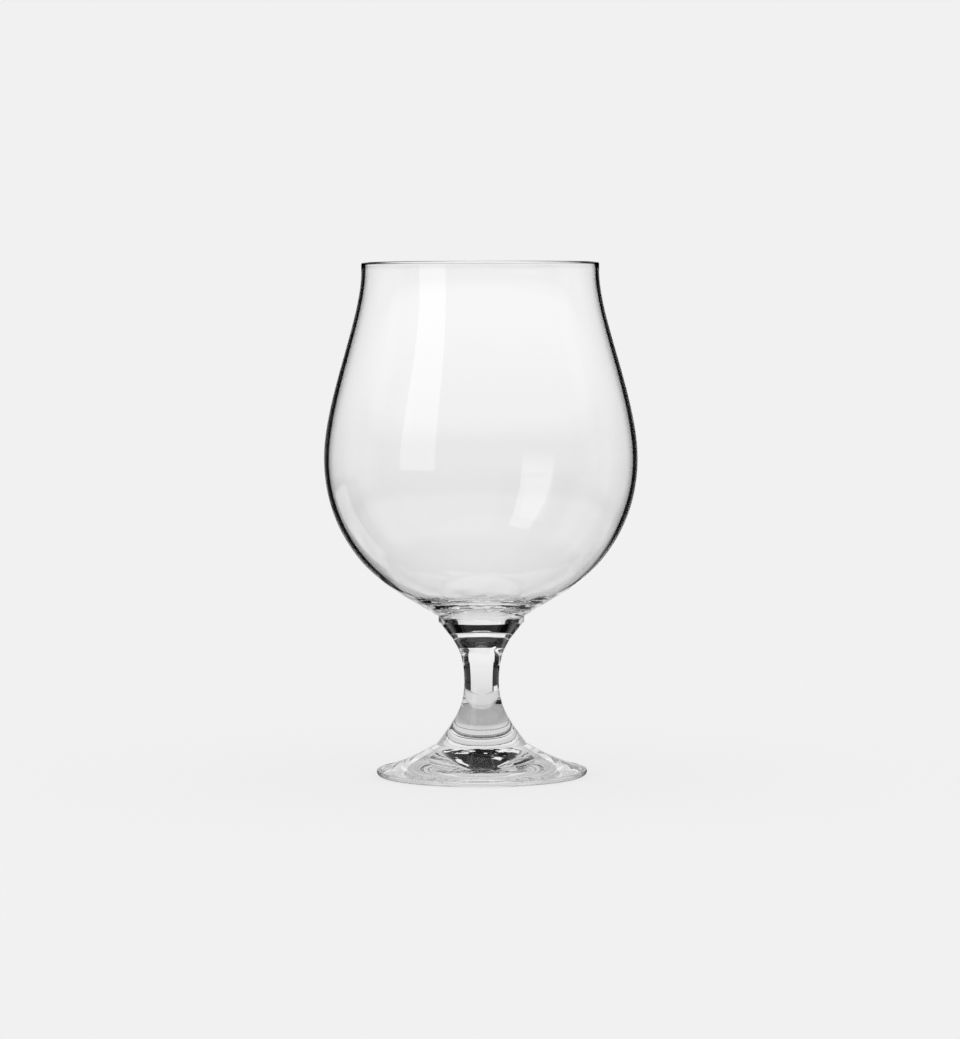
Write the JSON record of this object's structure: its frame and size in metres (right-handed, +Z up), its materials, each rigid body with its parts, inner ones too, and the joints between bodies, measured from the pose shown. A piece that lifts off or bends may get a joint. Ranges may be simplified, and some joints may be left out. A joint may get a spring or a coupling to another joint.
{
  "type": "beer snifter glass",
  "caption": "Clear glass beer snifter with a round tulip bowl drawn in to a rolled rim, a short waisted solid stem and a flared round foot.",
  "frame": {"origin": "centre of the foot on the plane of the table", "axes": "+Z up along the axis of turning, from the foot to the rim; the glass is the same all round"},
  "size_m": [0.095, 0.095, 0.1555],
  "materials": {
    "bowl_glass": "blown, fire polished and clear",
    "stem_glass": "drawn, fire polished and clear",
    "foot_glass": "pressed, fire polished and clear"
  },
  "bodies": {
    "root": {"bowl": "bowl_glass", "stem": "stem_glass", "foot": "foot_glass"}
  },
  "joints": []
}
